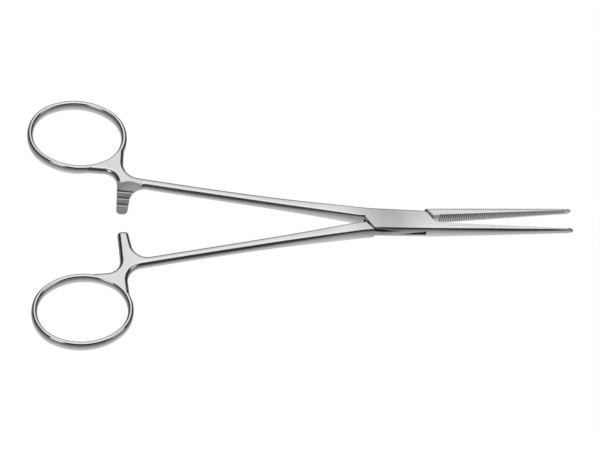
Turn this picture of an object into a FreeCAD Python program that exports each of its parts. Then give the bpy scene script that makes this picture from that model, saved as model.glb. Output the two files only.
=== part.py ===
import FreeCAD, Part
import math
import os

# Hemostatic forceps: straight, with finger rings, a ratchet, a box lock and cross-serrated jaws.
# Lengths are in millimetres and angles in degrees.
# Origin: the pivot axis where it meets the underside of the box. +X runs to the tips, +Z is up.
#
# Both halves grow from one blank. It is built closed, about the mid plane z = 0, with its ring
# and handle on +Y and its jaw on -Y. The box half is the blank with a slot through its box.
# The tongue half is the blank turned over about X, thinned to a tongue where the slot holds it.

V = FreeCAD.Vector

# Box lock
BOX_WIDTH = 6.9          # across the box at the pivot, from side to side
BOX_TAPER = 2.2          # how far the jaw's side of the box closes in towards the tips
BOX_THICKNESS = 5.0      # along the pivot
BOX_SIDE = 14.7          # length of the straight side of the box
BOX_SLANT = 2.95         # how far each slanted end runs on past that side
BOX_EDGE = 0.7           # rounding of the long edges of the box
CHEEK = 1.55             # thickness of the wall over and under the slot
TONGUE_PLAY = 0.05       # running gap between the tongue and each cheek
LOCK_GAP = 0.35          # closed gap between a shoulder and the box end that faces it
PIN_DIAMETER = 2.5
PIN_PLAY = 0.03          # running gap all round the pin in the tongue
PIN_BEVEL = 0.08         # bevel that leaves a hairline round the ground-off pin

# Handle
HANDLE_ROOT_X = 12.0     # distance from the pivot to where the handle leaves the box
HANDLE_LENGTH = 62.0     # from the box to the web
HANDLE_END_Y = 8.75      # middle of the handle at the web, off the closing line
HANDLE_BOW = 0.18        # how far the middle of the handle bends in
HANDLE_FLARE = 0.15      # how far the handle stands out past the side of the box at its root
HANDLE_WIDTH = 2.7       # of the slim stretch
HANDLE_THICKNESS = 3.2   # of the slim stretch
HANDLE_EDGE = 1.0        # rounding of its edges
HANDLE_FADE = 0.32       # share of the handle over which the heavy root thins out
JOINT_STEP = 0.03        # how far box and web stand proud of handle and jaw where they join
ROOT_GAP = 0.4           # closed gap between the two handles beside the box

# Finger ring, flat wire bent to an oval of four arcs
RING_PAST_ARM = 12.3     # from the far face of the ratchet arm on to the centre
RING_Y = 24.2            # centre, off the closing line
RING_TILT = -3.1
RING_HOLE_LONG = 26.6
RING_HOLE_WIDE = 21.3
RING_BAND = 1.5          # width of the wire, seen from above
RING_THICKNESS = 3.8
RING_FLATS = 7           # flats that dress each round edge of the wire

# Web between ring and handle, and the ratchet arm that stands on it
ARM_PAST_HANDLE = 9.4    # from the end of the handle on to the far face of the arm
ARM_TIP_WIDTH = 3.2
ARM_ROOT_WIDTH = 4.4
ARM_PAST = 1.45          # how far the arm reaches over the closing line
ARM_CORNER = 1.2
ARM_FILLET = 4.6         # hollow between arm and handle
RING_FILLET = 4.1        # hollow between arm and ring
NECK_SET_BACK = 1.5      # from the far face of the arm back to the neck beside the ring
NECK_FILLET = 5.0

# Ratchet teeth
TEETH = 3
TOOTH_PITCH = 2.31
TOOTH_DEPTH = 0.7
TOOTH_LAND = 0.3         # flat crest of each tooth
TOOTH_BACK = 0.15        # how far the locking face leans
FIRST_CREST = 1.34       # crest nearest the tip, off the closing line
CREST_GAP = 0.1          # from each row of crests to the mid plane, so that they pass each other
RAMP_RUN = 2.7           # length of the hollow ramp from the last tooth up to the web
RELIEF_WIDTH = 7.1       # of the milled relief, from the far face of the arm back

# Jaw
JAW_LENGTH = 52.0        # from the pivot to the tip
JAW_ROOT_GAP = 1.1       # closed gap between the jaws at the box
JAW_TIP_GAP = 0.04       # closed gap at the tips
JAW_LEAN = 0.7           # degrees that both jaws lean towards the handle of the box half
JAW_TIP_WIDTH = 0.6
JAW_TIP_THICKNESS = 2.2
JAW_FULLNESS = 0.2       # how much wider the jaw is at mid length than a straight taper
JAW_BACK_EDGE = 1.0      # rounding of the back at mid length
JAW_TIP_EDGE = 0.45      # rounding of the back at the tip
TIP_ROUND = 1.2          # length of the rounded tip

# Cross serrations
SERRATION_START_X = 12.0
SERRATION_PITCH = 0.67
SERRATION_WIDTH = 0.5
SERRATION_DEPTH = 0.3

# Rest pose: tips apart, as the forceps lies on a table
REST_OPENING = 6.86

# Worked out from the sizes above
HALF_WIDTH = BOX_WIDTH / 2
HALF_THICK = BOX_THICKNESS / 2
HANDLE_END_X = HANDLE_ROOT_X + HANDLE_LENGTH
ARM_X = HANDLE_END_X + ARM_PAST_HANDLE
NECK_X = ARM_X - NECK_SET_BACK
RING_X = ARM_X + RING_PAST_ARM
RING_LONG = RING_HOLE_LONG / 2 + RING_BAND / 2
RING_WIDE = RING_HOLE_WIDE / 2 + RING_BAND / 2
RING_END_RADIUS = RING_WIDE * math.sqrt(RING_WIDE / RING_LONG)
JAW_ROOT_Y = JAW_ROOT_GAP / 2
FAR = 20.0               # well past any face, for cutters


def rounded_face(corners, z):
    """Flat face whose outline turns at corners (x, y, radius), with an arc at each radius."""
    stops = []
    for i, (x, y, radius) in enumerate(corners):
        here = V(x, y, z)
        before, after = corners[i - 1], corners[(i + 1) % len(corners)]
        back = (V(before[0], before[1], z) - here).normalize()
        ahead = (V(after[0], after[1], z) - here).normalize()
        half = back.getAngle(ahead) / 2
        if radius:
            reach = radius / math.tan(half)
            middle = (back + ahead).normalize() * (radius / math.sin(half) - radius)
            stops.append((here + back * reach, here + middle, here + ahead * reach))
        else:
            stops.append((here, None, here))
    edges = []
    for i, (start, middle, end) in enumerate(stops):
        edges.append(Part.makeLine(stops[i - 1][2], start))
        if middle:
            edges.append(Part.Arc(start, middle, end).toShape())
    return Part.Face(Part.Wire(edges))


def plate(corners, thickness):
    """Plate of that outline, centred on the mid plane."""
    return rounded_face(corners, -thickness / 2).extrude(V(0, 0, thickness))


def section(x, y_low, y_high, thickness, r_low, r_high):
    """Cross section of a bar at x: a rectangle with its own corner radius on each side, or none."""
    top = thickness / 2

    def corner(y, z, radius, y_way, z_way):
        cut = radius * (1 - math.sqrt(0.5))
        along_y = V(x, y + y_way * radius, z)
        along_z = V(x, y, z + z_way * radius)
        return along_z, V(x, y + y_way * cut, z + z_way * cut), along_y

    low_top = corner(y_low, top, r_low, 1, -1)
    high_top = corner(y_high, top, r_high, -1, -1)[::-1]
    high_base = corner(y_high, -top, r_high, -1, 1)
    low_base = corner(y_low, -top, r_low, 1, 1)[::-1]
    corners = [low_top, high_top, high_base, low_base]
    edges = []
    for here, after in zip(corners, corners[1:] + corners[:1]):
        if here[0] != here[2]:
            edges.append(Part.Arc(*here).toShape())
        edges.append(Part.makeLine(here[2], after[0]))
    return Part.Wire(edges)


def box_end(y):
    """Distance from the pivot along X of the slanted end of the box, at height y up the jaw end."""
    return BOX_SIDE / 2 + BOX_SLANT * (HALF_WIDTH - y) / (HALF_WIDTH + ROOT_GAP / 2)


def back_side(x):
    """The side of the box that runs on into the back of the jaw, at x."""
    return -HALF_WIDTH + x * math.tan(math.radians(BOX_TAPER))


def fade(x):
    """1 where the handle leaves the box, falling to 0 where it meets the web."""
    t = (x - HANDLE_ROOT_X) / HANDLE_LENGTH
    return (1 - t) / (1 + (t / HANDLE_FADE) ** 2)


def handle_middle(x):
    """Middle of the handle at distance x from the pivot, off the closing line."""
    start = (HALF_WIDTH + HANDLE_FLARE + ROOT_GAP / 2) / 2
    t = (x - HANDLE_ROOT_X) / HANDLE_LENGTH
    return start + (HANDLE_END_Y - start) * t - 4 * HANDLE_BOW * t * (1 - t)


def handle():
    """Tapered bar from the box to the web."""
    root_width = HALF_WIDTH + HANDLE_FLARE - ROOT_GAP / 2
    sections = []
    for share in (0, 0.1, 0.25, 0.45, 0.7, 1):
        x = HANDLE_ROOT_X + share * HANDLE_LENGTH
        heavy = fade(x)
        half = (HANDLE_WIDTH + (root_width - HANDLE_WIDTH) * heavy) / 2 - JOINT_STEP
        thickness = HANDLE_THICKNESS + (BOX_THICKNESS - HANDLE_THICKNESS) * heavy - 2 * JOINT_STEP
        edge = HANDLE_EDGE + (BOX_EDGE - HANDLE_EDGE) * heavy
        middle = handle_middle(x)
        sections.append(section(-x, middle - half, middle + half, thickness, edge, edge))
    return Part.makeLoft(sections, True, True)


def jaw_share(x):
    """0 at the root of the jaw and 1 at its tip."""
    root = box_end(-JAW_ROOT_Y)
    return (x - root) / (JAW_LENGTH - root)


def jaw_inner(x, lean):
    """Serrated face of the jaw at x, off the closing line, where the jaw leans over by lean."""
    gap = JAW_ROOT_Y + (JAW_TIP_GAP / 2 - JAW_ROOT_Y) * jaw_share(x)
    return (x - box_end(-JAW_ROOT_Y)) * math.tan(math.radians(lean)) - gap


def jaw_section(x, lean, scale=1.0):
    """Cross section of the jaw at x, drawn in towards its middle by scale."""
    t = jaw_share(x)
    root_width = -JAW_ROOT_Y - back_side(box_end(-JAW_ROOT_Y)) - JOINT_STEP
    width = root_width + (JAW_TIP_WIDTH - root_width) * t + 4 * JAW_FULLNESS * t * (1 - t)
    thickness = BOX_THICKNESS + (JAW_TIP_THICKNESS - BOX_THICKNESS) * t - 2 * JOINT_STEP * (1 - t)
    edge = BOX_EDGE + (JAW_TIP_EDGE - BOX_EDGE) * t
    edge += 4 * (JAW_BACK_EDGE - (BOX_EDGE + JAW_TIP_EDGE) / 2) * t * (1 - t)
    middle = jaw_inner(x, lean) - width / 2
    half = width / 2 * scale
    return section(x, middle - half, middle + half, thickness * scale, edge * scale, 0)


def jaw(lean):
    """Tapered jaw with a flat face, a rounded back and a rounded tip."""
    root = box_end(-JAW_ROOT_Y)
    cap = JAW_LENGTH - TIP_ROUND
    blade = [jaw_section(root + share * (cap - root), lean) for share in (0, 0.35, 0.7, 1)]
    tip = [
        jaw_section(cap + TIP_ROUND * share, lean, math.sqrt(1 - share**2))
        for share in (0.5, 0.8, 0.97)
    ]
    return Part.makeLoft(blade + tip, True, True)


def serrations(offset, lean):
    """Wedges that cut the cross grooves into the jaw's face, moved along it by offset."""
    wedges = []
    x = SERRATION_START_X + offset
    while x < JAW_LENGTH:
        y = jaw_inner(x, lean)
        half = SERRATION_WIDTH / 2
        over = half / SERRATION_DEPTH
        corners = [
            (x - half - over * 0.5, y + 0.5, 0),
            (x, y - SERRATION_DEPTH, 0),
            (x + half + over * 0.5, y + 0.5, 0),
        ]
        wedges.append(plate(corners, BOX_THICKNESS))
        x += SERRATION_PITCH
    return Part.makeCompound(wedges)


def long_edges(solid, thickness):
    """Edges of a plate's top and underside that run along the forceps."""
    found = []
    for edge in solid.Edges:
        middle = edge.valueAt((edge.FirstParameter + edge.LastParameter) / 2)
        along = edge.tangentAt((edge.FirstParameter + edge.LastParameter) / 2)
        if abs(abs(middle.z) - thickness / 2) < 1e-6 and abs(along.x) > 0.9:
            found.append(edge)
    return found


def box_blank():
    """Body of the lock before slotting: a bar on from the handle joined to one on to the jaw."""
    side, low = BOX_SIDE / 2, ROOT_GAP / 2
    flare_x = side + 2 * (HANDLE_ROOT_X - side) / 4
    flare_radius = (HANDLE_ROOT_X - flare_x) * (HANDLE_ROOT_X - flare_x) / HANDLE_FLARE
    handle_bar = plate(
        [
            (-HANDLE_ROOT_X, low, 0),
            (-HANDLE_ROOT_X, HALF_WIDTH + HANDLE_FLARE, 0),
            (-flare_x, HALF_WIDTH, flare_radius),
            (side, HALF_WIDTH, 0),
            (box_end(low), low, 0),
        ],
        BOX_THICKNESS,
    )
    overlap, corner_y = HALF_WIDTH / 3, back_side(-side)
    root = box_end(-JAW_ROOT_Y)
    jaw_bar = plate(
        [
            (-box_end(-corner_y), corner_y, 0),
            (-box_end(-overlap), overlap, 0),
            (box_end(overlap), overlap, 0),
            (root, -JAW_ROOT_Y, 0),
            (root, back_side(root), 0),
        ],
        BOX_THICKNESS,
    )
    handle_bar = handle_bar.makeFillet(BOX_EDGE, long_edges(handle_bar, BOX_THICKNESS))
    backs = [e for e in long_edges(jaw_bar, BOX_THICKNESS) if e.CenterOfMass.y < 0]
    return handle_bar.fuse(jaw_bar.makeFillet(BOX_EDGE, backs))


def ring_turn(shape):
    """Moves a shape from the origin to the place and tilt of the ring."""
    shape.rotate(V(0, 0, 0), V(0, 0, 1), RING_TILT)
    shape.translate(V(-RING_X, RING_Y, 0))
    return shape


def ring_arcs():
    """Centre x and y, radius, start angle and span of the arcs along the middle of the wire."""
    end_x = RING_LONG - RING_END_RADIUS
    side_radius = end_x**2 + RING_WIDE**2 - RING_END_RADIUS**2
    side_radius /= 2 * (RING_WIDE - RING_END_RADIUS)
    side_y = side_radius - RING_WIDE
    join = math.degrees(math.atan2(side_y, end_x))
    return [
        (end_x, 0, RING_END_RADIUS, -join, 2 * join),
        (0, -side_y, side_radius, join, 180 - 2 * join),
        (-end_x, 0, RING_END_RADIUS, 180 - join, 2 * join),
        (0, side_y, side_radius, 180 + join, 180 - 2 * join),
    ]


def wire_section(radius):
    """Section of the ring's wire at radius: flat sides, and round edges dressed in flats."""
    step = math.pi / RING_FLATS
    reach = RING_BAND / 2 / math.cos(step / 2)
    straight = (RING_THICKNESS - RING_BAND) / 2
    corners = []
    for way in (1, -1):
        for k in range(RING_FLATS):
            turn = (k + 0.5) * step
            across = way * reach * math.cos(turn)
            corners.append(V(radius + across, 0, way * (straight + reach * math.sin(turn))))
    return Part.Face(Part.makePolygon(corners + corners[:1]))


def ring():
    """Finger ring: the wire's section turned round each arc in its turn."""
    bends = []
    for x, y, radius, start, span in ring_arcs():
        bend = wire_section(radius).revolve(V(0, 0, 0), V(0, 0, 1), span)
        bend.rotate(V(0, 0, 0), V(0, 0, 1), start)
        bend.translate(V(x, y, 0))
        bends.append(bend)
    return ring_turn(bends[0].fuse(bends[1:]))


def oval_prism(grow, thickness):
    """Upright prism in the place of the ring, out to the middle of its wire and on by grow."""
    edges = []
    for x, y, radius, start, span in ring_arcs():
        circle = Part.Circle(V(x, y, -thickness / 2), V(0, 0, 1), radius + grow)
        edges.append(Part.ArcOfCircle(circle, math.radians(start), math.radians(start + span)))
    face = Part.Face(Part.Wire([edge.toShape() for edge in edges]))
    return ring_turn(face.extrude(V(0, 0, thickness)))


def web():
    """Flat web that joins ring, handle and ratchet arm, with the arm still at full thickness."""
    half = HANDLE_WIDTH / 2
    arm_near = ARM_X - ARM_ROOT_WIDTH
    ring_low = RING_Y - RING_WIDE - RING_BAND / 2
    corners = [
        (-HANDLE_END_X, handle_middle(HANDLE_END_X) + half, 0),
        (-NECK_X, handle_middle(NECK_X) + half, NECK_FILLET),
        (-NECK_X + RING_BAND / 6, RING_Y - RING_WIDE / 4, 0),
        (-NECK_X - RING_BAND, RING_Y - RING_WIDE / 4, 0),
        (-RING_X + RING_LONG / 6, ring_low + RING_BAND, 0),
        (-RING_X + RING_LONG / 6, ring_low + RING_BAND / 6, 0),
        (-ARM_X, ring_low, RING_FILLET),
        (-ARM_X, -ARM_PAST, ARM_CORNER),
        (-ARM_X + ARM_TIP_WIDTH, -ARM_PAST, ARM_CORNER),
        (-arm_near, handle_middle(arm_near) - half, ARM_FILLET),
        (-HANDLE_END_X, handle_middle(HANDLE_END_X) - half, 0),
    ]
    solid = plate(corners, HANDLE_THICKNESS)
    inside_ring = oval_prism(RING_BAND / 2, 2 * HANDLE_THICKNESS)
    rounded = []
    for edge in solid.Edges:
        middle = edge.valueAt((edge.FirstParameter + edge.LastParameter) / 2)
        on_rim = abs(abs(middle.z) - HANDLE_THICKNESS / 2) < 1e-6
        at_handle = abs(middle.x + HANDLE_END_X) < 1e-6
        if on_rim and not at_handle and not inside_ring.isInside(middle, 1e-6, True):
            rounded.append(edge)
    solid = solid.makeChamfer(HANDLE_EDGE * (2 - math.sqrt(2)), rounded)
    return solid.cut(oval_prism(0, 2 * HANDLE_THICKNESS))


def ratchet_cutter():
    """Removes the upper half of the arm, down to a row of teeth and a ramp up to the web."""
    crest, notch = -CREST_GAP, -CREST_GAP - TOOTH_DEPTH
    last = FIRST_CREST + (TEETH - 1) * TOOTH_PITCH
    foot = V(0, last + TOOTH_BACK, notch)
    rise = HANDLE_THICKNESS / 2 - notch
    radius = (RAMP_RUN**2 + rise**2) / (2 * rise)
    turn = math.asin(RAMP_RUN / radius) / 2
    halfway = foot + V(0, radius * math.sin(turn), radius * (1 - math.cos(turn)))
    brow = foot + V(0, RAMP_RUN, rise)
    start = V(0, FIRST_CREST - TOOTH_PITCH - ARM_PAST, notch)
    outline = [brow, V(0, brow.y, HANDLE_THICKNESS), V(0, start.y, HANDLE_THICKNESS), start]
    for k in range(TEETH):
        y = FIRST_CREST + k * TOOTH_PITCH
        outline += [V(0, y - TOOTH_LAND, crest), V(0, y, crest), V(0, y + TOOTH_BACK, notch)]
    edges = Part.makePolygon(outline).Edges + [Part.Arc(foot, halfway, brow).toShape()]
    face = Part.Face(Part.Wire(edges))
    middle = FIRST_CREST + (TEETH - 1) * TOOTH_PITCH / 2
    face.translate(V(RELIEF_WIDTH - ARM_X, -middle, 0))
    cutter = face.extrude(V(-FAR, 0, 0))
    lean = -math.degrees(math.asin(middle / (ARM_X - ARM_TIP_WIDTH / 2)))
    cutter.rotate(V(0, 0, 0), V(0, 0, 1), lean)
    return cutter


def blank(serration_offset, lean):
    """One half before its lock is cut: ring, web, arm, handle, box body and jaw in one piece."""
    grip = ring().fuse(web().cut(ratchet_cutter()))
    toothed_jaw = jaw(lean).cut(serrations(serration_offset, lean))
    whole = grip.fuse(handle()).fuse(box_blank()).fuse(toothed_jaw)
    return whole.removeSplitter()


def flipped(shape):
    """The shape turned over about X."""
    turned = shape.copy()
    turned.rotate(V(0, 0, 0), V(1, 0, 0), 180)
    return turned


def lock_plan(gap, thickness):
    """Plate over the slanted box, with its ends moved out by gap and its sides left open."""
    slope = BOX_SLANT / (HALF_WIDTH + ROOT_GAP / 2)
    low, high = -FAR, FAR
    shift = gap * math.sqrt(1 + slope**2)
    return plate(
        [
            (box_end(low) + shift, low, 0),
            (box_end(high) + shift, high, 0),
            (-box_end(-high) - shift, high, 0),
            (-box_end(-low) - shift, low, 0),
        ],
        thickness,
    )


def box_half():
    """Half with the box: its slot takes the flipped outline of the other half."""
    slot = flipped(lock_plan(LOCK_GAP, BOX_THICKNESS - 2 * CHEEK))
    bore = Part.makeCylinder(PIN_DIAMETER / 2, BOX_THICKNESS, V(0, 0, -HALF_THICK))
    return blank(0, JAW_LEAN).cut(slot).cut(bore)


def tongue_half():
    """Half with the tongue: clear of the cheeks of the box, and of its slanted ends."""
    tongue = BOX_THICKNESS - 2 * CHEEK - 2 * TONGUE_PLAY
    over = lock_plan(LOCK_GAP, BOX_THICKNESS)
    over.translate(V(0, 0, tongue / 2 + HALF_THICK))
    under = lock_plan(LOCK_GAP, BOX_THICKNESS)
    under.translate(V(0, 0, -tongue / 2 - HALF_THICK))
    bore = Part.makeCylinder(PIN_DIAMETER / 2 + PIN_PLAY, BOX_THICKNESS, V(0, 0, -HALF_THICK))
    whole = flipped(blank(SERRATION_PITCH / 2, -JAW_LEAN))
    return whole.cut(over).cut(under).cut(bore)


def pivot_pin():
    """Pin through box and tongue, ground off level with both faces of the box."""
    pin = Part.makeCylinder(PIN_DIAMETER / 2, BOX_THICKNESS, V(0, 0, -HALF_THICK))
    rims = [e for e in pin.Edges if abs(abs(e.CenterOfMass.z) - HALF_THICK) < 1e-6]
    return pin.makeChamfer(PIN_BEVEL, rims)


def placed(shape, turn):
    """Turns a piece about the pivot to the rest pose and lifts it so that the box stands on z = 0."""
    shape.rotate(V(0, 0, 0), V(0, 0, 1), turn)
    shape.translate(V(0, 0, HALF_THICK))
    return shape


def main():
    os.makedirs("parts", exist_ok=True)
    pieces = {
        "box_half": placed(box_half(), -REST_OPENING / 2),
        "tongue_half": placed(tongue_half(), REST_OPENING / 2),
        "pivot_pin": placed(pivot_pin(), 0),
    }
    for name, shape in pieces.items():
        shape.exportStep(f"parts/{name}.step")
        solids = len(shape.Solids)
        print(f"{name}: {solids} solid, {shape.Volume:.1f} mm3, valid {shape.isValid()}")


main()
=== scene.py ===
import bmesh
import bpy
import math
from mathutils import Matrix, Vector


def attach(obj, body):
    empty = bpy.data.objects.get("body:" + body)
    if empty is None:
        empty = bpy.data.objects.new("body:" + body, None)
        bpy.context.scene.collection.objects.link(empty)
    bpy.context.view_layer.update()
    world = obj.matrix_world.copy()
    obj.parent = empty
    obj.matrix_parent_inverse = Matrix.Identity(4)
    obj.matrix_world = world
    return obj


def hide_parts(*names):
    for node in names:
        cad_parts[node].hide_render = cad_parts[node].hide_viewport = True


# Hemostatic forceps on a white table, in the frame of the CAD model.
# Sizes are in millimetres, as in the part's source, and become metres as the meshes are made.
# Each half is built closed, about the mid plane, with ring and handle on +Y, then placed at rest.

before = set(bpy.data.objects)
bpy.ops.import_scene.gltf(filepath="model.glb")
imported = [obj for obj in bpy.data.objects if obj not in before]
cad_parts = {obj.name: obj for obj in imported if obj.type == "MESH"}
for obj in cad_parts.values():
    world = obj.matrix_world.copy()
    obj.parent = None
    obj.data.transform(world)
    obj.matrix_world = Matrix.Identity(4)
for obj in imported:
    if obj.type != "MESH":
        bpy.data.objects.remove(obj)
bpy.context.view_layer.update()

MM = 0.001

# Box lock
BOX_WIDTH = 6.9          # across the box at the pivot, from side to side
BOX_TAPER = 2.2          # degrees by which the jaw's side of the box closes in
BOX_THICKNESS = 5.0      # along the pivot
BOX_SIDE = 14.7          # length of the straight side of the box
BOX_SLANT = 2.95         # how far each slanted end runs on past that side
BOX_EDGE = 0.7           # rounding of the long edges of the box
CHEEK = 1.55             # thickness of the wall over and under the slot
TONGUE_PLAY = 0.05       # running gap between the tongue and each cheek
LOCK_GAP = 0.35          # closed gap between a shoulder and the box end that faces it
PIN_DIAMETER = 2.5
PIN_PLAY = 0.03          # running gap all round the pin in the tongue
PIN_BEVEL = 0.03         # bevel that leaves a hairline round the ground-off pin

# Handle
HANDLE_ROOT_X = 12.0     # distance from the pivot to where the handle leaves the box
HANDLE_LENGTH = 62.0     # from the box to the web
HANDLE_END_Y = 8.75      # middle of the handle at the web, off the closing line
HANDLE_BOW = 0.18        # how far the middle of the handle bends in
HANDLE_FLARE = 0.15      # how far the handle stands out past the side of the box at its root
FLARE_START_X = 8.5      # distance from the pivot to where the box begins to flare
HANDLE_WIDTH = 2.7       # of the slim stretch
HANDLE_THICKNESS = 3.2   # of the slim stretch
HANDLE_EDGE = 1.25       # rounding of its edges
HANDLE_FADE = 0.32       # share of the handle over which the heavy root thins out
ROOT_GAP = 0.4           # closed gap between the two handles beside the box

# Finger ring
RING_PAST_ARM = 12.3     # from the far face of the ratchet arm on to the centre
RING_Y = 24.2            # centre, off the closing line
RING_TILT = -3.1         # degrees by which the oval leans
RING_HOLE_LONG = 26.6
RING_HOLE_WIDE = 21.3
RING_BAND = 1.5          # width of the wire, seen from above
RING_THICKNESS = 3.7
WIRE_FULLNESS = 0.5      # from 0 for an oval section to 1 for a nearly square one
WIRE_INWARD = 0.1        # how much fuller the wire is on its inner side
WEB_REACH = 13.0         # how far from the arm the ring's wire is as thin as the web

# Web and ratchet arm
ARM_PAST_HANDLE = 9.4    # from the end of the handle on to the far face of the arm
ARM_TIP_WIDTH = 3.2
ARM_ROOT_WIDTH = 4.4
ARM_PAST = 1.45          # how far the arm reaches over the closing line
ARM_CORNER = 1.2
ARM_FILLET = 4.6         # hollow between arm and handle
RING_FILLET = 4.1        # hollow between arm and ring
NECK_SET_BACK = 1.5      # from the far face of the arm back to the neck beside the ring
NECK_FILLET = 5.0

# Ratchet teeth
TEETH = 3
TOOTH_PITCH = 2.31
TOOTH_DEPTH = 0.7
TOOTH_LAND = 0.3         # flat crest of each tooth
TOOTH_BACK = 0.15        # how far the locking face leans
FIRST_CREST = 1.34       # crest nearest the tip, off the closing line
CREST_GAP = 0.1          # from each row of crests to the mid plane
RAMP_RUN = 2.7           # length of the ramp from the last tooth up to the web
RAMP_HOLLOW = 33.0       # degrees by which the ramp curves up
RELIEF_WIDTH = 7.1       # of the milled relief, from the far face of the arm back
RELIEF_ARCH = 1.2        # how much lower the ramp's upper edge lies at both ends

# Jaw
JAW_LENGTH = 52.0        # from the pivot to the tip
JAW_ROOT_GAP = 1.1       # closed gap between the jaws at the box
JAW_TIP_GAP = 0.04       # closed gap at the tips
JAW_LEAN = 0.7           # degrees that both jaws lean towards the handle of the box half
JAW_TIP_WIDTH = 0.6
JAW_TIP_THICKNESS = 2.2
JAW_FULLNESS = 0.2       # how much wider the jaw is at mid length than a straight taper
JAW_BACK_EDGE = 1.0      # rounding of the back at mid length
JAW_TIP_EDGE = 0.45      # rounding of the back at the tip
TIP_ROUND = 1.8          # length of the rounded tip

# Cross serrations
SERRATION_START_X = 12.0
SERRATION_PITCH = 0.67
SERRATION_WIDTH = 0.5
SERRATION_DEPTH = 0.3

REST_OPENING = 6.86      # degrees between the halves in the photograph

# Worked out from the sizes above
HALF_WIDTH = BOX_WIDTH / 2
HALF_THICK = BOX_THICKNESS / 2
BOX_HALF_SIDE = BOX_SIDE / 2
HANDLE_END_X = HANDLE_ROOT_X + HANDLE_LENGTH
ARM_X = HANDLE_END_X + ARM_PAST_HANDLE
NECK_X = ARM_X - NECK_SET_BACK
RING_X = ARM_X + RING_PAST_ARM
RING_LONG = RING_HOLE_LONG / 2 + RING_BAND / 2
RING_WIDE = RING_HOLE_WIDE / 2 + RING_BAND / 2
RING_END_RADIUS = RING_WIDE * math.sqrt(RING_WIDE / RING_LONG)
JAW_ROOT_Y = JAW_ROOT_GAP / 2
BOX_SLOPE = BOX_SLANT / (HALF_WIDTH + ROOT_GAP / 2)
LAST_CREST = FIRST_CREST + (TEETH - 1) * TOOTH_PITCH
NOTCH_Z = -CREST_GAP - TOOTH_DEPTH

# Aids to building
FAR = 20.0               # well past any face, for cutters
TOUCH = 0.01             # how near a point counts as on a face
WELD = 0.002             # how near points are joined
MITER_LEAST = 0.5        # keeps a sharp corner from running far out when it is inset
SHARP_ANGLE = 32.0       # degrees from which an edge is drawn crisp

# Finishes, as the order of the materials on each half
SATIN, POLISHED, MILLED, FILED_SHADED, MATT = range(5)

# How far a face has to look a way to get a finish, as the size of its normal that way
FACING_JAW = 0.2
FACING_UP = 0.05
LEVEL = 0.99

# Polished faces aren't quite flat
CROWN = 0.05             # fall of a face at its side, as a share of its half width
CROWN_BLEND = 14.0       # length over which the crown of the box passes into handle and jaw

# How fine the meshes are
EDGE_STEPS = 12          # facets of a rounded edge
TOP_STEPS = 6            # facets across a crowned face
TURN_STEPS = 14          # facets of a rounded corner of an outline
RING_STEPS = 90          # facets of each of the ring's arcs
WIRE_STEPS = 72          # facets round the ring's wire
HANDLE_STEPS = 80        # lengths of the handle
ROOT_STEPS = 6           # lengths between handle and box
SLANT_STEPS = 20         # lengths of each slanted end
SIDE_STEPS = 4           # lengths of the straight side of the box
ARCH_STEPS = 16          # facets of the arch over the ratchet
PIN_STEPS = 96           # facets round pin and bore

# Camera
LOOK_AT = Vector((-29.4, -0.75, 2.55)) * MM
CAMERA_TILT = math.radians(32.0)     # off the vertical
CAMERA_SWING = math.radians(12.0)    # round towards the finger rings
CAMERA_ROLL = math.radians(-0.1)
CAMERA_DISTANCE = 1.05
CAMERA_NEAR = 0.01
PHOTO_WIDTH = 600                    # in pixels
PIXEL = 0.294                        # what a pixel spans at the look point
FRAME_WIDTH = PHOTO_WIDTH * PIXEL * MM
SENSOR = 36.0

# Soft boxes: name, bearing from +Y and height off the vertical in degrees, sides in metres, glow.
# The flat faces mirror the first two, the rounded shoulders the next three. What lies beyond them
# to the front stays dark and makes the black line along handles and rings. The last three light
# the ends of the rings and the views from behind.
LIGHT_DISTANCE = 1.0
LIGHTS = (
    ("key_box", 0, 23, (1.0, 0.30), 0.98),
    ("back_box", 0, 41, (1.0, 0.33), 0.85),
    ("low_box", 0, 66, (1.0, 0.57), 0.6),
    ("front_box", 0, 2.3, (0.8, 0.43), 1.2),
    ("fade_box", 180, 18, (0.8, 0.28), 0.6),
    ("strip_box", 218, 63, (0.35, 0.7), 1.2),
    ("left_fill", 242, 72, (0.9, 0.5), 0.1),
    ("right_fill", 122, 60, (0.5, 0.8), 0.7),
)
STUDIO_GREY = 0.025

# Table, in metres: grey in truth and white to the camera, with a little of the grey for the shadow
TABLE_SIZE = 6.0
TABLE_GREY = 0.45
TABLE_GLOW = 1.05
TABLE_GLOW_SEEN = 0.94   # share of the glow in what the camera sees
TABLE_PAINTED_REFLECTION = 0.8     # share of the glow that steel close over it shows, a painted reflection
PAINTED_REFLECTION_NEAR = 0.0005     # distance up to which that share holds
PAINTED_REFLECTION_FAR = 0.006       # distance at which it has gone

# Steel, with lengths in millimetres. Noise scales are per metre.
NOISE_SPAN = (0.3, 0.7)  # what a noise is taken from and to
LINE_SCALE, LINE_DETAIL = 9000.0, 3.0
LINE_STRETCH = (0.04, 1.0, 1.0)
LINE_SHADE = (0.97, 1.02)
LINE_DEPTH = 0.02
STAIN_SCALE, STAIN_DETAIL = 130.0, 4.0
STAIN_SHADE = (0.965, 1.02)
SMEAR_SCALE, SMEAR_DETAIL, SMEAR_TWIST = 420.0, 2.0, 0.6
SMEAR_LEAST, SMEAR_MOST = 0.94, 1.06
WAVE_SCALE, WAVE_DETAIL = 75.0, 0.0
EDGE_REACH = 0.12        # how far the painted highlight and the wear polish go on either side of an edge
EDGE_SPAN = (0.8, 0.98)  # agreement of the true and the rounded normal, at and off an edge
EDGE_POLISH = 0.7        # how much smoother a worn edge is
# occlusion at which the painted shade in hollows is full, and gone
HOLLOW_SPAN = (0.72, 0.95)
LOCK_MIDDLE_X = -3.0     # middle of the painted shade over the lock
LOCK_SPAN = (2.0, 13.0)  # distance from there at which its painted shade is full, and gone


# Meshes

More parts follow.
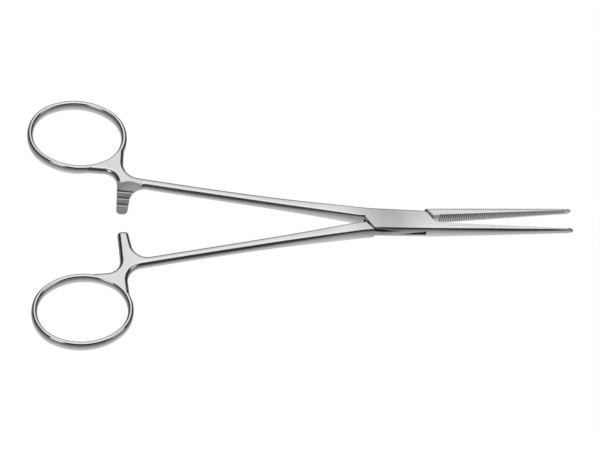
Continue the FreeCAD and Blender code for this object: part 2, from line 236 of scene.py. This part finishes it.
def make_object(name, points, faces):
    """Mesh object from points in millimetres."""
    mesh = bpy.data.meshes.new(name)
    mesh.from_pydata([tuple(c * MM for c in p) for p in points], [], faces)
    mesh.update()
    obj = bpy.data.objects.new(name, mesh)
    bpy.context.scene.collection.objects.link(obj)
    return obj


def loft(name, rings, closed=False):
    """Skin over rings of points that all have the same count, closed to a loop or capped."""
    n = len(rings[0])
    points = [p for ring in rings for p in ring]
    faces = []
    last = len(rings) if closed else len(rings) - 1
    for i in range(last):
        here, after = i * n, (i + 1) % len(rings) * n
        for k in range(n):
            beside = (k + 1) % n
            faces.append((here + k, here + beside, after + beside, after + k))
    if not closed:
        faces.append(tuple(range(n))[::-1])
        faces.append(tuple((len(rings) - 1) * n + k for k in range(n)))
    return make_object(name, points, faces)


def prism(name, outline, low, high):
    """Upright prism over a flat outline."""
    return loft(name, [[(x, y, z) for x, y in outline] for z in (low, high)])


def circle(radius):
    """Points (x, y) round the pivot."""
    turns = [2 * math.pi * k / PIN_STEPS for k in range(PIN_STEPS)]
    return [(radius * math.cos(turn), radius * math.sin(turn)) for turn in turns]


def outward(obj):
    """Turns all faces of a closed mesh to look out."""
    bm = bmesh.new()
    bm.from_mesh(obj.data)
    bmesh.ops.recalc_face_normals(bm, faces=bm.faces)
    bm.to_mesh(obj.data)
    bm.free()
    return obj


def cut(obj, cutter):
    """Cuts the cutter from obj and removes it."""
    outward(obj)
    outward(cutter)
    modifier = obj.modifiers.new("cut", "BOOLEAN")
    modifier.object = cutter
    modifier.operation = "DIFFERENCE"
    modifier.solver = "EXACT"
    graph = bpy.context.evaluated_depsgraph_get()
    mesh = bpy.data.meshes.new_from_object(obj.evaluated_get(graph))
    obj.modifiers.clear()
    obj.data = mesh
    bpy.data.objects.remove(cutter)


def turned_over(obj):
    """The mesh turned half round the closing line, so that its upper face is the lower one."""
    obj.data.transform(Matrix.Rotation(math.pi, 4, "X"))
    return obj


def mark(obj, finish, test=None):
    """Gives the faces that pass the test, or all without one, the finish of that number."""
    for face in obj.data.polygons:
        if test is None or test(face.center / MM, face.normal):
            face.material_index = finish
    return obj


def join(name, parts):
    """One object from several meshes, with handle and web grown together at their common end."""
    bm = bmesh.new()
    for part in parts:
        bm.from_mesh(part.data)
        bpy.data.objects.remove(part)
    ends = []
    for face in bm.faces:
        if all(abs(v.co.x + HANDLE_END_X * MM) < WELD * MM for v in face.verts):
            ends.append(face)
    bmesh.ops.delete(bm, geom=ends, context="FACES")
    bmesh.ops.remove_doubles(bm, verts=bm.verts, dist=WELD * MM)
    mesh = bpy.data.meshes.new(name)
    bm.to_mesh(mesh)
    bm.free()
    obj = bpy.data.objects.new(name, mesh)
    bpy.context.scene.collection.objects.link(obj)
    return obj


def finish_mesh(obj, turn, materials):
    """Places a closed piece at rest and gives it smooth faces with crisp edges."""
    lift = Matrix.Translation((0, 0, HALF_THICK * MM))
    obj.data.transform(lift @ Matrix.Rotation(math.radians(turn), 4, "Z"))
    obj.data.polygons.foreach_set("use_smooth", [True] * len(obj.data.polygons))
    obj.data.set_sharp_from_angle(angle=math.radians(SHARP_ANGLE))
    numbers = [face.material_index for face in obj.data.polygons]
    obj.data.materials.clear()
    for material in materials:
        obj.data.materials.append(material)
    obj.data.polygons.foreach_set("material_index", numbers)
    even = obj.modifiers.new("even", "WEIGHTED_NORMAL")
    even.keep_sharp = True


# Form of the forceps

def fillet_points(corners):
    """Outline points of corners (x, y, radius), with the round ones as arcs."""
    points = []
    for i, (x, y, radius) in enumerate(corners):
        here = Vector((x, y))
        if not radius:
            points.append((x, y))
            continue
        before = (Vector(corners[i - 1][:2]) - here).normalized()
        after = (Vector(corners[(i + 1) % len(corners)][:2]) - here).normalized()
        half = before.angle(after) / 2
        middle = here + (before + after).normalized() * (radius / math.sin(half))
        start = here + before * (radius / math.tan(half)) - middle
        turn = math.pi - 2 * half
        if start.cross(here + after * (radius / math.tan(half)) - middle) < 0:
            turn = -turn
        for k in range(TURN_STEPS + 1):
            arm = Matrix.Rotation(turn * k / TURN_STEPS, 2) @ start
            points.append(tuple(middle + arm))
    return points


def inset(outline, distance):
    """The outline drawn in, except at its straight end from the last point to the first."""
    n = len(outline)
    moved = [(outline[0][0], outline[0][1] - distance)]
    for i in range(1, n - 1):
        here = Vector(outline[i])
        back = (here - Vector(outline[i - 1])).normalized()
        ahead = (Vector(outline[i + 1]) - here).normalized()
        left_back, left_ahead = Vector((-back.y, back.x)), Vector((-ahead.y, ahead.x))
        miter = (left_back + left_ahead).normalized()
        moved.append(tuple(here + miter * distance / max(miter.dot(left_ahead), MITER_LEAST)))
    return moved + [(outline[-1][0], outline[-1][1] + distance)]


def box_end(y):
    """Distance from the pivot to the slanted end of the box, y off the closing line."""
    return BOX_HALF_SIDE + BOX_SLOPE * (HALF_WIDTH - y)


def back_side(x):
    """The side of the box that runs on into the back of the jaw."""
    return -HALF_WIDTH + x * math.tan(math.radians(BOX_TAPER))


def handle_share(x):
    """How far along the handle the distance x from the pivot is, from 0 to 1."""
    return (x - HANDLE_ROOT_X) / HANDLE_LENGTH


def handle_middle(x):
    """Middle line of the handle at distance x from the pivot."""
    start = (HALF_WIDTH + HANDLE_FLARE + ROOT_GAP / 2) / 2
    t = handle_share(x)
    return start + (HANDLE_END_Y - start) * t - 4 * HANDLE_BOW * t * (1 - t)


def handle_size(x):
    """Half width, half thickness and edge radius of the handle at distance x from the pivot."""
    t = handle_share(x)
    heavy = (1 - t) / (1 + (t / HANDLE_FADE) ** 2)
    root_width = HALF_WIDTH + HANDLE_FLARE - ROOT_GAP / 2
    half = (HANDLE_WIDTH + (root_width - HANDLE_WIDTH) * heavy) / 2
    thick = (HANDLE_THICKNESS + (BOX_THICKNESS - HANDLE_THICKNESS) * heavy) / 2
    return half, thick, HANDLE_EDGE + (BOX_EDGE - HANDLE_EDGE) * heavy


def jaw_share(x):
    """How far along the jaw x is, from 0 at the box to 1 at the tip."""
    root = box_end(-JAW_ROOT_Y)
    return (x - root) / (JAW_LENGTH - root)


def jaw_inner(x, lean):
    """Serrated face of the jaw at x, where the jaw leans over by lean."""
    gap = JAW_ROOT_Y + (JAW_TIP_GAP / 2 - JAW_ROOT_Y) * jaw_share(x)
    return (x - box_end(-JAW_ROOT_Y)) * math.tan(math.radians(lean)) - gap


def crown(x, y, low, high):
    """How far the polished top or underside falls away at y, of the bar between low and high."""
    blend = min(max((abs(x) - BOX_HALF_SIDE) / CROWN_BLEND, 0), 1)
    reach = HALF_WIDTH + ((high - low) / 2 - HALF_WIDTH) * blend
    end = min((HANDLE_END_X + x) / CROWN_BLEND, 1)
    return CROWN * end * (y - (low + high) / 2 * blend) ** 2 / reach


def section(x, low, high, top, r_low, r_high, cut_low=-FAR, cut_high=FAR):
    """Ring of points: a crowned rectangle with rounded corners, cut off square at the cuts."""
    ring = []
    corners = [
        (low + r_low, top - r_low, r_low, math.pi),
        (high - r_high, top - r_high, r_high, math.pi / 2),
        (high - r_high, -top + r_high, r_high, 0),
        (low + r_low, -top + r_low, r_low, -math.pi / 2),
    ]
    for i, (y, z, radius, start) in enumerate(corners):
        for k in range(EDGE_STEPS + 1):
            turn = start - math.pi / 2 * k / EDGE_STEPS
            ring.append((y + radius * math.cos(turn), z + radius * math.sin(turn)))
        if i in (0, 2):
            far_y = corners[i + 1][0]
            for k in range(1, TOP_STEPS):
                ring.append((y + (far_y - y) * k / TOP_STEPS, math.copysign(top, z)))
    placed = []
    for y, z in ring:
        across = min(max(y, cut_low), cut_high)
        fall = crown(x, across, low, min(high, cut_high))
        placed.append((x, across, z - math.copysign(min(fall, abs(z)), z)))
    return placed


def bar_section(x, lean):
    """Section of handle, box or jaw at x along the forceps."""
    if x <= -HANDLE_ROOT_X:
        half, top, edge = handle_size(-x)
        middle = handle_middle(-x)
        return section(x, middle - half, middle + half, top, edge, edge)
    if x <= box_end(-JAW_ROOT_Y):
        flare = max(0, (-x - FLARE_START_X) / (HANDLE_ROOT_X - FLARE_START_X))
        high = HALF_WIDTH + HANDLE_FLARE * flare**1.5
        slanted = -HALF_WIDTH + (-x - BOX_HALF_SIDE) / BOX_SLOPE
        cut_low = min(max(slanted, back_side(x)), ROOT_GAP / 2)
        cut_high = max(min(HALF_WIDTH - (x - BOX_HALF_SIDE) / BOX_SLOPE, FAR), -JAW_ROOT_Y)
        low = ROOT_GAP / 2 if x <= -box_end(-ROOT_GAP / 2) else back_side(x)
        return section(x, low, high, HALF_THICK, BOX_EDGE, BOX_EDGE, cut_low, cut_high)
    t = jaw_share(x)
    root_width = -JAW_ROOT_Y - back_side(box_end(-JAW_ROOT_Y))
    width = root_width + (JAW_TIP_WIDTH - root_width) * t + 4 * JAW_FULLNESS * t * (1 - t)
    top = HALF_THICK + (JAW_TIP_THICKNESS / 2 - HALF_THICK) * t
    back = BOX_EDGE + (JAW_TIP_EDGE - BOX_EDGE) * t
    back += 4 * (JAW_BACK_EDGE - (BOX_EDGE + JAW_TIP_EDGE) / 2) * t * (1 - t)
    inner = jaw_inner(x, lean)
    return section(x, inner - width, inner + BOX_EDGE, top, back, BOX_EDGE, -FAR, inner)


def jaw_sections(offset, lean):
    """Sections of the jaw, with a groove wherever a serration crosses it, and its round tip."""
    root, cap = box_end(-JAW_ROOT_Y), JAW_LENGTH - TIP_ROUND
    half = SERRATION_WIDTH / 2
    stops = []
    middle = SERRATION_START_X + offset
    while middle + half < cap:
        stops += [(middle - half, 0), (middle, SERRATION_DEPTH), (middle + half, 0)]
        middle += SERRATION_PITCH
    rings = []
    for stop, depth in [(root + TOUCH, 0)] + stops + [(cap, 0)]:
        face = jaw_inner(stop, lean) - depth
        rings.append([(x, min(y, face), z) for x, y, z in bar_section(stop, lean)])
    middle_y = jaw_inner(cap, lean) - JAW_TIP_WIDTH / 2
    for k in range(1, EDGE_STEPS):
        share = math.sin(math.pi / 2 * k / EDGE_STEPS)
        scale = math.sqrt(1 - share**2)
        ring = bar_section(cap + TIP_ROUND * share, lean)
        rings.append([(x, middle_y + (y - middle_y) * scale, z * scale) for x, y, z in ring])
    return rings


def bar(offset, lean):
    """Handle, box body and jaw in one skin, before the lock is cut."""
    stops = []
    for k in range(HANDLE_STEPS + 1):
        stops.append(-HANDLE_END_X + HANDLE_LENGTH * k / HANDLE_STEPS)
    for start, end, count in (
        (-HANDLE_ROOT_X, -box_end(-ROOT_GAP / 2), ROOT_STEPS),
        (-box_end(-ROOT_GAP / 2), -BOX_HALF_SIDE, SLANT_STEPS),
        (-BOX_HALF_SIDE, BOX_HALF_SIDE, SIDE_STEPS),
        (BOX_HALF_SIDE, box_end(-JAW_ROOT_Y), SLANT_STEPS),
    ):
        for k in range(1, count + 1):
            stops.append(start + (end - start) * k / count)
    skin = loft("bar", [bar_section(x, lean) for x in stops] + jaw_sections(offset, lean))

    def serrated(at, normal):
        along = at.x > SERRATION_START_X - SERRATION_WIDTH
        near = at.y > jaw_inner(at.x, lean) - 2 * SERRATION_DEPTH
        return along and near and normal.y > FACING_JAW

    return mark(skin, MILLED, serrated)


def to_ring(x, y):
    """A point given from the middle of the finger ring, along and across its oval."""
    turn = math.radians(RING_TILT)
    return (
        x * math.cos(turn) - y * math.sin(turn) - RING_X,
        x * math.sin(turn) + y * math.cos(turn) + RING_Y,
    )


def ring_path(grow):
    """Points (x, y) round the ring, grown outward from the middle of its wire."""
    end_x = RING_LONG - RING_END_RADIUS
    side_radius = end_x**2 + RING_WIDE**2 - RING_END_RADIUS**2
    side_radius /= 2 * (RING_WIDE - RING_END_RADIUS)
    side_y = side_radius - RING_WIDE
    meet = math.atan2(side_y, end_x)
    points = []
    for x, y, radius, start, span in (
        (end_x, 0, RING_END_RADIUS, -meet, 2 * meet),
        (0, -side_y, side_radius, meet, math.pi - 2 * meet),
        (-end_x, 0, RING_END_RADIUS, math.pi - meet, 2 * meet),
        (0, side_y, side_radius, math.pi + meet, math.pi - 2 * meet),
    ):
        for k in range(RING_STEPS):
            turn = start + span * k / RING_STEPS
            reach = radius + grow
            points.append(to_ring(x + reach * math.cos(turn), y + reach * math.sin(turn)))
    return points


def ring():
    """Finger ring of rounded wire, drawn down to the web where the two join."""
    web_middle = Vector((-ARM_X, RING_Y - RING_WIDE))
    sides = []
    for k in range(WIRE_STEPS):
        turn = 2 * math.pi * k / WIRE_STEPS
        across, rise = math.cos(turn), math.sin(turn)
        fuller = (across**4 + rise**4) ** (-1 / 4 * WIRE_FULLNESS)
        side = []
        grow = (RING_BAND / 2 + WIRE_INWARD) * across * fuller - WIRE_INWARD
        for (x, y), middle in zip(ring_path(grow), ring_path(0)):
            near = math.exp(-((Vector(middle) - web_middle).length / WEB_REACH) ** 4)
            top = RING_THICKNESS / 2 * (1 - near) + HANDLE_THICKNESS / 2 * near
            side.append((x, y, top * rise * fuller))
        sides.append(side)
    return mark(outward(loft("ring", [list(r) for r in zip(*sides)], closed=True)), POLISHED)


def web():
    """Web and ratchet arm, with the teeth cut and the ring's hole left free."""
    half, top, edge = handle_size(HANDLE_END_X)
    arm_near = ARM_X - ARM_ROOT_WIDTH
    ring_low = RING_Y - RING_WIDE - RING_BAND / 2
    # The corners beside the ring lie inside its wire, where the hole takes them off
    outline = fillet_points([
        (-HANDLE_END_X, handle_middle(HANDLE_END_X) + half, 0),
        (-NECK_X, handle_middle(NECK_X) + half, NECK_FILLET),
        (-NECK_X + RING_BAND / 6, RING_Y - RING_WIDE / 4, 0),
        (-NECK_X - 2 * RING_BAND, RING_Y - RING_WIDE / 4, 0),
        (-RING_X + RING_LONG / 6, ring_low + 2 * RING_BAND, 0),
        (-RING_X + RING_LONG / 6, ring_low + RING_BAND / 6, 0),
        (-ARM_X, ring_low, RING_FILLET),
        (-ARM_X, -ARM_PAST, ARM_CORNER),
        (-ARM_X + ARM_TIP_WIDTH, -ARM_PAST, ARM_CORNER),
        (-arm_near, handle_middle(arm_near) - half, ARM_FILLET),
        (-HANDLE_END_X, handle_middle(HANDLE_END_X) - half, 0),
    ])
    rings = []
    for k in range(EDGE_STEPS + 1):
        turn = math.pi / 2 * k / EDGE_STEPS
        drawn = inset(outline, edge * (1 - math.cos(turn)))
        rings.append([(x, y, top - edge + edge * math.sin(turn)) for x, y in drawn])
    plate = loft("web", [[(x, y, -z) for x, y, z in r] for r in rings[::-1]] + rings)
    cut(plate, prism("hole", ring_path(0), -FAR, FAR))
    cut(plate, ratchet_cutter())
    teeth_end = LAST_CREST + TOOTH_BACK

    def cut_down(at, normal):
        deep = NOTCH_Z - TOUCH < at.z < HANDLE_THICKNESS / 2 - TOUCH
        wide = at.x < RELIEF_WIDTH - ARM_X and at.y < teeth_end + RAMP_RUN
        return deep and wide and normal.z > FACING_UP

    def crest(at, normal):
        return abs(at.z + CREST_GAP) < TOUCH and normal.z > LEVEL

    mark(plate, MATT, cut_down)
    mark(plate, FILED_SHADED, lambda at, normal: cut_down(at, normal) and at.y < teeth_end)
    return mark(plate, MILLED, crest)


def ratchet_cutter():
    """Upper half of the arm's place, down to the teeth and the ramp, which ends in an arch."""
    middle = FIRST_CREST + (TEETH - 1) * TOOTH_PITCH / 2
    lean = Matrix.Rotation(-math.asin(middle / (ARM_X - ARM_TIP_WIDTH / 2)), 3, "Z")
    places = []
    for k in range(ARCH_STEPS + 1):
        places.append((RELIEF_WIDTH * (1 - k / ARCH_STEPS), 2 * k / ARCH_STEPS - 1))
    places.append((-FAR, 1.0))
    rings = []
    for x, share in places:
        profile = ratchet_profile(RAMP_RUN - RELIEF_ARCH * share**2)
        rings.append([tuple(lean @ Vector((x - ARM_X, y - middle, z))) for y, z in profile])
    return loft("cutter", rings)


def ratchet_profile(ramp_run):
    """Teeth and ramp, seen along the forceps, closed above the arm."""
    crest = -CREST_GAP
    start = FIRST_CREST - TOOTH_PITCH - ARM_PAST
    profile = [(start, NOTCH_Z)]
    for k in range(TEETH):
        y = FIRST_CREST + k * TOOTH_PITCH
        profile += [(y - TOOTH_LAND, crest), (y, crest), (y + TOOTH_BACK, NOTCH_Z)]
    foot, rise = LAST_CREST + TOOTH_BACK, HANDLE_THICKNESS / 2 - NOTCH_Z
    hollow = math.radians(RAMP_HOLLOW)
    first = math.atan(rise / ramp_run) - hollow / 2
    radius = math.hypot(rise, ramp_run) / 2 / math.sin(hollow / 2)
    for k in range(TURN_STEPS + 1):
        turn = first + hollow * k / TURN_STEPS
        run = radius * (math.sin(turn) - math.sin(first))
        profile.append((foot + run, NOTCH_Z + radius * (math.cos(first) - math.cos(turn))))
    return profile + [(foot + ramp_run, HANDLE_THICKNESS), (start, HANDLE_THICKNESS)]


def lock_plan(gap, low, high):
    """Plate over the slanted box, with its ends moved out by gap and its sides left open."""
    shift = gap * math.sqrt(1 + BOX_SLOPE**2)
    corners = [
        (box_end(-FAR) + shift, -FAR),
        (box_end(FAR) + shift, FAR),
        (-box_end(-FAR) - shift, FAR),
        (-box_end(FAR) - shift, -FAR),
    ]
    return prism("plan", corners, low, high)


def bore(diameter):
    """Cutter for a hole along the pivot."""
    return prism("bore", circle(diameter / 2), -FAR, FAR)


def box_half(materials):
    """The half with the slotted box, which carries the upper handle and the lower jaw."""
    body = bar(0, JAW_LEAN)
    slot_half = HALF_THICK - CHEEK
    cut(body, turned_over(lock_plan(LOCK_GAP, -slot_half, slot_half)))
    cut(body, bore(PIN_DIAMETER))
    piece = join("box_half_steel", [body, web(), ring()])
    finish_mesh(piece, -REST_OPENING / 2, materials)
    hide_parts("box_half")
    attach(piece, "box_body")


def tongue_half(materials):
    """The half with the tongue, turned over from the same blank, with its serrations between."""
    body = turned_over(bar(SERRATION_PITCH / 2, -JAW_LEAN))
    tongue = HALF_THICK - CHEEK - TONGUE_PLAY
    cut(body, lock_plan(LOCK_GAP, tongue, FAR))
    cut(body, lock_plan(LOCK_GAP, -FAR, -tongue))
    cut(body, bore(PIN_DIAMETER + 2 * PIN_PLAY))
    piece = join("tongue_half_steel", [body, turned_over(web()), turned_over(ring())])
    finish_mesh(piece, REST_OPENING / 2, materials)
    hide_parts("tongue_half")
    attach(piece, "tongue_body")


def pivot_pin(material):
    """Pin ground off level with the box."""
    radius = PIN_DIAMETER / 2
    rings = []
    for z, r in (
        (-HALF_THICK, radius - PIN_BEVEL),
        (-HALF_THICK + PIN_BEVEL, radius),
        (HALF_THICK - PIN_BEVEL, radius),
        (HALF_THICK, radius - PIN_BEVEL),
    ):
        rings.append([(x, y, z) for x, y in circle(r)])
    piece = outward(loft("pivot_pin_steel", rings))
    finish_mesh(piece, 0, [material])
    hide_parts("pivot_pin")
    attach(piece, "box_body")


# Studio

def make_camera():
    """Camera at the photograph's angle."""
    towards = Vector((
        -math.sin(CAMERA_SWING) * math.sin(CAMERA_TILT),
        -math.cos(CAMERA_SWING) * math.sin(CAMERA_TILT),
        math.cos(CAMERA_TILT),
    ))
    right = (Vector((1, 0, 0)) - towards * towards.x).normalized()
    up = towards.cross(right)
    turn = Matrix((right, up, towards)).transposed() @ Matrix.Rotation(CAMERA_ROLL, 3, "Z")
    data = bpy.data.cameras.new("camera")
    data.sensor_width = SENSOR
    data.lens = SENSOR * CAMERA_DISTANCE / FRAME_WIDTH
    data.clip_start = CAMERA_NEAR
    camera = bpy.data.objects.new("camera", data)
    camera.matrix_world = Matrix.Translation(LOOK_AT + towards * CAMERA_DISTANCE) @ turn.to_4x4()
    bpy.context.scene.collection.objects.link(camera)
    bpy.context.scene.camera = camera


def make_light(name, bearing, height, size, glow):
    """Soft box that looks at the middle of the picture."""
    turn, lean = math.radians(bearing), math.radians(height)
    away = Vector((
        math.sin(turn) * math.sin(lean),
        math.cos(turn) * math.sin(lean),
        math.cos(lean),
    ))
    data = bpy.data.lights.new(name, "AREA")
    data.shape = "RECTANGLE"
    data.size, data.size_y = size
    data.energy = glow * math.pi * size[0] * size[1]
    light = bpy.data.objects.new(name, data)
    light.location = LOOK_AT + away * LIGHT_DISTANCE
    light.rotation_euler = away.to_track_quat("Z", "Y").to_euler()
    bpy.context.scene.collection.objects.link(light)


def make_world():
    """Dark studio round the soft boxes."""
    world = bpy.data.worlds.new("studio")
    bpy.context.scene.world = world
    world.use_nodes = True
    background = world.node_tree.nodes["Background"]
    background.inputs["Color"].default_value = (STUDIO_GREY, STUDIO_GREY, STUDIO_GREY, 1)
    background.inputs["Strength"].default_value = 1.0


# Materials

def new_material(name):
    """Material without nodes, and its node tree."""
    material = bpy.data.materials.new(name)
    material.use_nodes = True
    material.node_tree.nodes.clear()
    return material, material.node_tree


def add_node(tree, kind, **values):
    """New node with the values on its inputs of these names."""
    made = tree.nodes.new(kind)
    for key, value in values.items():
        made.inputs[key.replace("_", " ")].default_value = value
    return made


def worked_out(tree, operation, *sources):
    """Result of a maths node on outputs of other nodes and plain numbers."""
    made = tree.nodes.new("ShaderNodeMath")
    made.operation = operation
    for source, socket in zip(sources, made.inputs):
        if isinstance(source, float):
            socket.default_value = source
        else:
            tree.links.new(source, socket)
    return made.outputs[0]


def graded(tree, source, span, results):
    """An output, brought from the span to the results and held at their ends."""
    made = add_node(
        tree, "ShaderNodeMapRange",
        From_Min=span[0], From_Max=span[1], To_Min=results[0], To_Max=results[1],
    )
    tree.links.new(source, made.inputs["Value"])
    return made.outputs["Result"]


def noise(tree, place, **values):
    """Strength of a noise at the place."""
    made = add_node(tree, "ShaderNodeTexNoise", **values)
    tree.links.new(place, made.inputs["Vector"])
    return made.outputs["Fac"]


def edge_mask(tree):
    """Near 1 on open faces and less along sharp edges."""
    rounded = add_node(tree, "ShaderNodeBevel", Radius=EDGE_REACH * MM)
    agreement = tree.nodes.new("ShaderNodeVectorMath")
    agreement.operation = "DOT_PRODUCT"
    plain = tree.nodes.new("ShaderNodeNewGeometry")
    tree.links.new(rounded.outputs[0], agreement.inputs[0])
    tree.links.new(plain.outputs["Normal"], agreement.inputs[1])
    return agreement.outputs["Value"]


def lock_distance(tree, place):
    """Distance along the forceps from the middle of the painted shade over the lock."""
    split = tree.nodes.new("ShaderNodeSeparateXYZ")
    tree.links.new(place, split.inputs[0])
    along = worked_out(tree, "ADD", split.outputs["X"], -LOCK_MIDDLE_X * MM)
    return worked_out(tree, "ABSOLUTE", along)


def steel(name, base, metal, roughness, grain, waves, hollow_reach, hollow_painted_shade, edge_painted_highlight,
          lock_painted_shade):
    """Stainless steel: fine polishing lines along the forceps and soft stains, painted shade in
    hollows and over the lock, and along edges a painted highlight and wear polish.
    """
    material, tree = new_material(name)
    place = tree.nodes.new("ShaderNodeTexCoord").outputs["Object"]
    along = add_node(tree, "ShaderNodeMapping", Scale=LINE_STRETCH)
    tree.links.new(place, along.inputs["Vector"])
    lines = noise(tree, along.outputs[0], Scale=LINE_SCALE, Detail=LINE_DETAIL)
    stains = noise(tree, place, Scale=STAIN_SCALE, Detail=STAIN_DETAIL)
    smears = noise(tree, place, Scale=SMEAR_SCALE, Detail=SMEAR_DETAIL, Distortion=SMEAR_TWIST)
    uneven = noise(tree, place, Scale=WAVE_SCALE, Detail=WAVE_DETAIL)
    edges = edge_mask(tree)
    # Occlusion, which paints shade into hollows and creases
    hollows = add_node(tree, "ShaderNodeAmbientOcclusion", Distance=hollow_reach * MM)

    shade = graded(tree, lines, NOISE_SPAN, LINE_SHADE)
    for source, span, results in (
        (stains, NOISE_SPAN, STAIN_SHADE),
        # Painted highlight: colour brightened along sharp edges
        (edges, EDGE_SPAN, (edge_painted_highlight, 1.0)),
        # Painted shade: colour darkened in hollows and creases
        (hollows.outputs["AO"], HOLLOW_SPAN, (hollow_painted_shade, 1.0)),
        # Painted shade: colour darkened over the lock
        (lock_distance(tree, place), [d * MM for d in LOCK_SPAN], (lock_painted_shade, 1.0)),
    ):
        shade = worked_out(tree, "MULTIPLY", shade, graded(tree, source, span, results))
    colour = tree.nodes.new("ShaderNodeMix")
    colour.data_type = "RGBA"
    colour.clamp_factor = False
    share, black, full = colour.inputs[0], colour.inputs[6], colour.inputs[7]
    black.default_value = (0, 0, 0, 1)
    full.default_value = (*base, 1)
    tree.links.new(shade, share)

    smeared = graded(tree, smears, NOISE_SPAN, (SMEAR_LEAST * roughness, SMEAR_MOST * roughness))
    polish = graded(tree, edges, EDGE_SPAN, (EDGE_POLISH, 1.0))
    rough = worked_out(tree, "MULTIPLY", smeared, polish)

    broad = add_node(tree, "ShaderNodeBump", Strength=1.0, Distance=waves * MM)
    tree.links.new(uneven, broad.inputs["Height"])
    bump = add_node(tree, "ShaderNodeBump", Strength=grain, Distance=LINE_DEPTH * MM)
    tree.links.new(lines, bump.inputs["Height"])
    tree.links.new(broad.outputs[0], bump.inputs["Normal"])

    shader = add_node(tree, "ShaderNodeBsdfPrincipled", Metallic=metal)
    tree.links.new(colour.outputs[2], shader.inputs["Base Color"])
    tree.links.new(rough, shader.inputs["Roughness"])
    tree.links.new(bump.outputs[0], shader.inputs["Normal"])
    out = tree.nodes.new("ShaderNodeOutputMaterial")
    tree.links.new(shader.outputs[0], out.inputs["Surface"])
    return material


def make_table():
    """White table that keeps a faint shadow; to glossy rays from close by it glows, a painted
    reflection that whitens steel close over it.
    """
    bpy.ops.mesh.primitive_plane_add(size=TABLE_SIZE, location=(0, 0, 0))
    table = bpy.context.object
    table.name = "table"
    material, tree = new_material("table")
    matt = add_node(tree, "ShaderNodeBsdfDiffuse", Color=(TABLE_GREY, TABLE_GREY, TABLE_GREY, 1))
    glow = add_node(tree, "ShaderNodeEmission", Color=(1, 1, 1, 1), Strength=TABLE_GLOW)
    path = tree.nodes.new("ShaderNodeLightPath")
    seen = worked_out(tree, "MULTIPLY", path.outputs["Is Camera Ray"], TABLE_GLOW_SEEN)
    # Painted reflection: glossy rays that meet the table close by get its white glow
    near = graded(
        tree, path.outputs["Ray Length"], (PAINTED_REFLECTION_NEAR, PAINTED_REFLECTION_FAR), (TABLE_PAINTED_REFLECTION, 0.0)
    )
    share = worked_out(tree, "MULTIPLY_ADD", path.outputs["Is Glossy Ray"], near, seen)
    mix = tree.nodes.new("ShaderNodeMixShader")
    out = tree.nodes.new("ShaderNodeOutputMaterial")
    tree.links.new(share, mix.inputs[0])
    tree.links.new(matt.outputs[0], mix.inputs[1])
    tree.links.new(glow.outputs[0], mix.inputs[2])
    tree.links.new(mix.outputs[0], out.inputs["Surface"])
    table.data.materials.append(material)


make_camera()
make_world()
make_table()
for light in LIGHTS:
    make_light(*light)

finishes = [
    steel("satin_steel", (0.78, 0.78, 0.79), metal=1.0, roughness=0.2, grain=0.18, waves=0.3,
          hollow_reach=0.7, hollow_painted_shade=0.55, edge_painted_highlight=1.08, lock_painted_shade=0.66),
    steel("polished_steel", (0.76, 0.76, 0.77), metal=1.0, roughness=0.09, grain=0.03, waves=0.1,
          hollow_reach=0.7, hollow_painted_shade=0.8, edge_painted_highlight=1.04, lock_painted_shade=1.0),
    steel("milled_steel", (0.74, 0.74, 0.75), metal=0.6, roughness=0.42, grain=0.6, waves=0.1,
          hollow_reach=0.7, hollow_painted_shade=0.4, edge_painted_highlight=1.4, lock_painted_shade=1.0),
    # Filed teeth: rougher steel, with a dark base colour that paints the shade on the teeth
    steel("filed_shaded_steel", (0.26, 0.26, 0.27), metal=1.0, roughness=0.4, grain=0.6, waves=0.1,
          hollow_reach=1.5, hollow_painted_shade=0.1, edge_painted_highlight=1.6, lock_painted_shade=1.0),
    steel("matt_steel", (0.96, 0.96, 0.97), metal=0.35, roughness=0.5, grain=0.6, waves=0.1,
          hollow_reach=0.9, hollow_painted_shade=0.1, edge_painted_highlight=1.0, lock_painted_shade=1.0),
]
box_half(finishes)
tongue_half(finishes)
pivot_pin(finishes[SATIN])

bpy.context.scene.view_settings.view_transform = "Standard"
bpy.context.view_layer.update()
